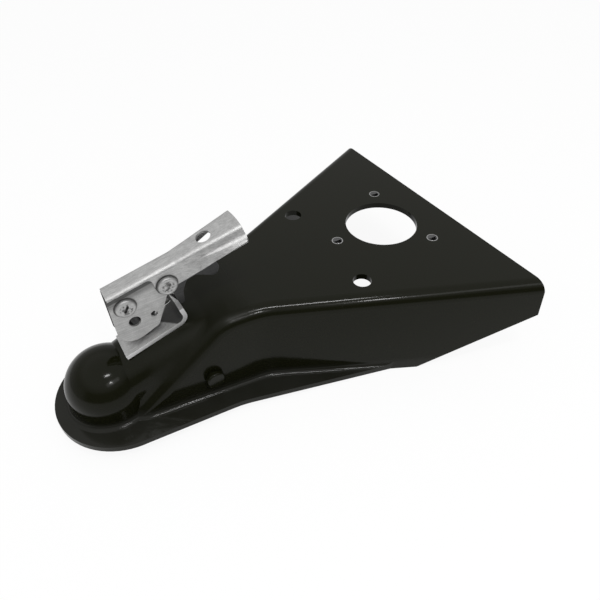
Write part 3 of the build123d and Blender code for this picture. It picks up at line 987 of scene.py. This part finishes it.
def square_ends(low, high):
    """Cut the open thread square at both ends, face it outwards and go to object mode."""
    cut((0, 0, low), UP, clear_inner=True)
    cut((0, 0, high), UP, clear_outer=True)
    bpy.ops.mesh.select_all(action="SELECT")
    bpy.ops.mesh.normals_make_consistent(inside=False)
    bpy.ops.object.mode_set(mode="OBJECT")


class COUPLER_OT_paint(bpy.types.Operator):
    """Paint the drawn body, the pivot pin and its washer"""

    bl_idname = "coupler.paint"
    bl_label = "Paint Body"

    def execute(self, context):
        paint = black_paint(context.scene)
        dress_nodes(paint, "coupler_body", "clamp_pivot_pin", "pin_washer")
        return {"FINISHED"}


class COUPLER_OT_plate(bpy.types.Operator):
    """Plate the lever, cam plates, seat, rivets and small hardware, and blacken the trigger"""

    bl_idname = "coupler.plate"
    bl_label = "Plate Latch"

    def execute(self, context):
        scene = context.scene
        plating = scene.coupler_plating
        rough = plating.roughness
        turn = (0.0, scene.coupler_threads.neck_angle, 0.0)
        # Where painted shade goes on each piece
        shades = {
            "lever": Spot.shade_round_rivets,
            "left_cam_plate": Spot.shade_on_cam,
            "right_cam_plate": Spot.shade_on_cam,
            "lever_rivet": Spot.shade_on_rivet,
            "trigger_rivet": Spot.shade_on_rivet,
            "latch_seat": Spot.shade_on_seat,
        }
        # Where a painted highlight goes
        highlights = {"latch_seat": Spot.seat_edge_highlight}
        for name, shaded in shades.items():
            bright = zinc(
                scene, f"{name}_zinc", plating.zinc, rough, turn, shaded, highlights.get(name)
            )
            dress_nodes(bright, name)
        dull = zinc(scene, "dull_zinc", plating.dull, rough + DULL_ROUGH, turn)
        dress_nodes(dull, "trigger_sleeve", "lock_nut", "stud_washer", "spring_washer")
        dress_nodes(zinc(scene, "trigger_black", plating.trigger, rough, turn), "trigger")
        return {"FINISHED"}


class COUPLER_OT_inside(bpy.types.Operator):
    """Give the clamp, its bushing, the springs and the locking ring their finishes"""

    bl_idname = "coupler.inside"
    bl_label = "Finish Clamp"

    def execute(self, context):
        scene = context.scene
        plating = scene.coupler_plating
        steel = zinc(scene, "spring_steel", plating.dull, SPRING_ROUGH, UNTURNED)
        wire = zinc(scene, "spring_wire", plating.cast, WIRE_ROUGH, UNTURNED)
        dress_nodes(casting(scene), "ball_clamp")
        dress_nodes(nylon_ring(scene), "nut_insert")
        dress_nodes(steel, "clamp_spring", "clamp_bushing")
        dress_nodes(wire, "trigger_spring")
        return {"FINISHED"}


class COUPLER_OT_thread_stud(bpy.types.Operator):
    """Cut the thread on the clamp stud, under its eye"""

    bl_idname = "coupler.thread_stud"
    bl_label = "Thread Stud"

    def cut_shaft(self, threads):
        """The threaded shaft, upright on the origin with one turn of room below."""
        crest = threads.stud_radius
        pitch = threads.stud_pitch
        root = crest - STUD_DEPTH * pitch
        run = threads.stud_high - threads.stud_low
        profile = [
            (root, 0, 0),
            (root, 0, STUD_ROOT_END * pitch),
            (crest, 0, STUD_CREST * pitch),
            (crest, 0, STUD_CREST_END * pitch),
            (root, 0, pitch),
        ]
        shaft = thread_profile("threaded_stud", profile)
        open_profile(shaft)
        screw(shaft, pitch, run)
        bpy.ops.mesh.remove_doubles(threshold=WELD)
        square_ends(pitch, pitch + run)
        return shaft

    def cut_eye(self, scene, place, upright):
        """The eye of the CAD stud, cut off square at that place."""
        eye = bpy.data.objects.new("stud_eye", NODES["clamp_stud"].data.copy())
        scene.collection.objects.link(eye)
        select_only(eye)
        bpy.ops.object.mode_set(mode="EDIT")
        bpy.ops.mesh.select_all(action="SELECT")
        bpy.ops.mesh.remove_doubles(threshold=WELD)
        cut(place, upright, clear_inner=True)
        bpy.ops.object.mode_set(mode="OBJECT")
        return eye

    def execute(self, context):
        scene = context.scene
        threads = scene.coupler_threads
        tilt = threads.neck_angle
        foot = Vector(threads.stud_foot)
        upright = Vector((-math.sin(tilt), 0.0, math.cos(tilt)))

        shaft = self.cut_shaft(threads)
        shaft.location = foot + upright * (threads.stud_low - threads.stud_pitch)
        shaft.rotation_euler = Euler((0.0, -tilt, 0.0))
        settle(shaft)
        eye = self.cut_eye(scene, foot + upright * (threads.stud_high - EYE_LAP), upright)
        select_only(shaft)
        eye.select_set(True)
        bpy.ops.object.join()
        bpy.ops.object.shade_smooth_by_angle(angle=SMOOTH_ANGLE)

        turn = (0.0, math.pi / 2 + tilt, 0.0)
        dress(shaft, zinc(scene, "stud_zinc", scene.coupler_plating.cast, STUD_ROUGH, turn))
        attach(shaft, "stud")
        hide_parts("clamp_stud")
        return {"FINISHED"}


class COUPLER_OT_tap_holes(bpy.types.Operator):
    """Cut the thread in the three tapped holes of the plate"""

    bl_idname = "coupler.tap_holes"
    bl_label = "Tap Holes"

    def cut_ring(self, threads, sheet):
        """The thread of one hole, with the top of the sheet at the origin."""
        pitch = threads.tap_pitch
        wall = threads.tap_radius - TAP_GAP
        inner = threads.tap_radius - TAP_DEPTH * pitch
        low = TAP_CUT * pitch
        profile = [
            (wall, 0, TAP_FOOT * pitch),
            (inner, 0, TAP_CREST * pitch),
            (inner, 0, TAP_CREST_END * pitch),
            (wall, 0, TAP_FOOT_END * pitch),
        ]
        ring = thread_profile("tapped_thread_1", profile)
        screw(ring, pitch, sheet)
        square_ends(low, low + sheet - TAP_SHORT)
        ring.location = (0, 0, -low - sheet + TAP_SHORT / 2)
        settle(ring)
        bpy.ops.object.shade_smooth_by_angle(angle=SMOOTH_ANGLE)
        return ring

    def execute(self, context):
        scene = context.scene
        hole = MOUNTS["jack_hole"]
        sheet = hole["dims"]["length_mm"] / MM_PER_M
        top = hole["pos_m"][2] + sheet / 2
        places = tapped_holes()
        finish = zinc(scene, "bare_thread", scene.coupler_plating.cast, TAP_ROUGH, UNTURNED)
        rings = [self.cut_ring(scene.coupler_threads, sheet)]
        for count in range(2, len(places) + 1):
            ring = bpy.data.objects.new(f"tapped_thread_{count}", rings[0].data.copy())
            scene.collection.objects.link(ring)
            rings.append(ring)
        for ring, (x, y) in zip(rings, places):
            ring.location = (x, y, top)
            settle(ring)
            dress(ring, finish)
            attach(ring, "frame")
        return {"FINISHED"}


class COUPLER_OT_stage(bpy.types.Operator):
    """Lay the floor, hang the lamps and set up the camera"""

    bl_idname = "coupler.stage"
    bl_label = "Set Stage"

    def lay_floor(self, stage):
        """A pale floor, plain white where it is seen, that keeps the coupler's shadow."""

        def make(start):
            direct = start.node("ShaderNodeLightPath", output="Is Camera Ray")
            mirrored = direct.beside("Is Glossy Ray")
            through = direct.beside("Is Transmission Ray")
            place = start.place()
            grain = start.noise(place, *FLOOR_GRAIN)
            tone = start.blend(grain, opaque(stage.floor), opaque(stage.floor, FLOOR_WORN))
            matt = start.node("ShaderNodeBsdfDiffuse", None, {"Color": tone})
            away = start.vectors("LENGTH", place, output="Value")
            far = start.ramp(away, *FLOOR_FADE) * (FLOOR_MIRRORED - stage.shade)
            fade = mirrored * (1 - FLOOR_MIRRORED + far)
            white = start.node("ShaderNodeEmission", None, {"Color": 1 - fade})
            share = start.most(direct, mirrored, through) * stage.glow
            return start.node("ShaderNodeMixShader", None, {0: share, 1: matt, 2: white})

        bpy.ops.object.select_all(action="DESELECT")
        bpy.ops.mesh.primitive_circle_add(
            vertices=FLOOR_SIDES,
            radius=FLOOR_RADIUS,
            fill_type="NGON",
            location=(0, 0, CAD_BOX[0][2] - FLOOR_GAP),
        )
        floor = bpy.context.active_object
        floor.name = "floor"
        settle(floor)
        dress(floor, new_finish("studio_floor", make))

    def hang_lamps(self, scene, stage):
        """Area lamps, all aimed at the coupler; the one at the nose isn't mirrored in it."""
        for name, place, size, power in LAMPS:
            light = bpy.data.lights.new(name, "AREA")
            light.shape = "RECTANGLE"
            light.size, light.size_y = size
            light.energy = getattr(stage, power)
            lamp = bpy.data.objects.new(name, light)
            lamp.location = place
            aim = Vector(AIM) - Vector(place)
            lamp.rotation_euler = aim.to_track_quat("-Z", "Y").to_euler()
            lamp.visible_glossy = name != "nose_lamp"
            scene.collection.objects.link(lamp)

    def light_studio(self, scene, stage):
        """White behind the coupler, even light round it, darker low down behind the camera."""
        world = bpy.data.worlds.new("studio")
        world.use_nodes = True
        world.node_tree.nodes.clear()
        start = Wire(world.node_tree)
        direct = start.node("ShaderNodeLightPath", output="Is Camera Ray")
        shown = start.most(direct, direct.beside("Is Transmission Ray"))
        towards = start.node("ShaderNodeTexCoord", output="Generated")
        _, back, up = start.axes(towards)
        low = 1 - start.ramp(up, stage.shade_top - SHADE_BLUR, stage.shade_top)
        near = 1 - start.ramp(back, *SHADE_SIDE)
        high = HORIZON + start.ramp(up, *OVERHEAD) * (1 - HORIZON)
        around = (1 - low * near * (1 - stage.shade)) * high * stage.ambient
        level = shown + (1 - shown) * around
        light = start.node("ShaderNodeBackground", None, {"Color": WHITE, "Strength": level})
        start.node("ShaderNodeOutputWorld", None, {"Surface": light})
        scene.world = world

    def set_camera(self, scene, stage):
        """The camera at the photograph's viewing angle."""
        lens = bpy.data.cameras.new("camera")
        lens.lens = stage.lens
        lens.sensor_width = SENSOR
        lens.clip_start = CLIP_START
        camera = bpy.data.objects.new("camera", lens)
        camera.location = stage.camera_place
        camera.rotation_euler = Euler(stage.camera_turn)
        scene.collection.objects.link(camera)
        scene.camera = camera

    def execute(self, context):
        scene = context.scene
        stage = scene.coupler_stage
        self.lay_floor(stage)
        self.hang_lamps(scene, stage)
        self.light_studio(scene, stage)
        self.set_camera(scene, stage)
        scene.view_settings.view_transform = "Standard"
        return {"FINISHED"}


STEPS = (
    COUPLER_OT_paint,
    COUPLER_OT_plate,
    COUPLER_OT_inside,
    COUPLER_OT_thread_stud,
    COUPLER_OT_tap_holes,
    COUPLER_OT_stage,
)
GROUPS = {
    "coupler_paint": CouplerPaint,
    "coupler_plating": CouplerPlating,
    "coupler_threads": CouplerThreads,
    "coupler_stage": CouplerStage,
}


class COUPLER_PT_looks(bpy.types.Panel):
    """Sizes, colours and steps of the coupling head's looks"""

    bl_idname = "COUPLER_PT_looks"
    bl_label = "Coupling Head"
    bl_space_type = "VIEW_3D"
    bl_region_type = "UI"
    bl_category = "Coupler"

    def draw(self, context):
        for name, group in GROUPS.items():
            box = self.layout.box()
            for prop in group.__annotations__:
                box.prop(getattr(context.scene, name), prop)
        for step in STEPS:
            self.layout.operator(step.bl_idname)


def register():
    for group in GROUPS.values():
        bpy.utils.register_class(group)
    for name, group in GROUPS.items():
        setattr(bpy.types.Scene, name, bpy.props.PointerProperty(type=group))
    for step in STEPS:
        bpy.utils.register_class(step)
    bpy.utils.register_class(COUPLER_PT_looks)


def unregister():
    bpy.utils.unregister_class(COUPLER_PT_looks)
    for step in reversed(STEPS):
        bpy.utils.unregister_class(step)
    for name in GROUPS:
        delattr(bpy.types.Scene, name)
    for group in GROUPS.values():
        bpy.utils.unregister_class(group)


def main():
    register()
    bpy.ops.coupler.paint()
    bpy.ops.coupler.plate()
    bpy.ops.coupler.inside()
    bpy.ops.coupler.thread_stud()
    bpy.ops.coupler.tap_holes()
    bpy.ops.coupler.stage()


if __name__ == "__main__":
    main()
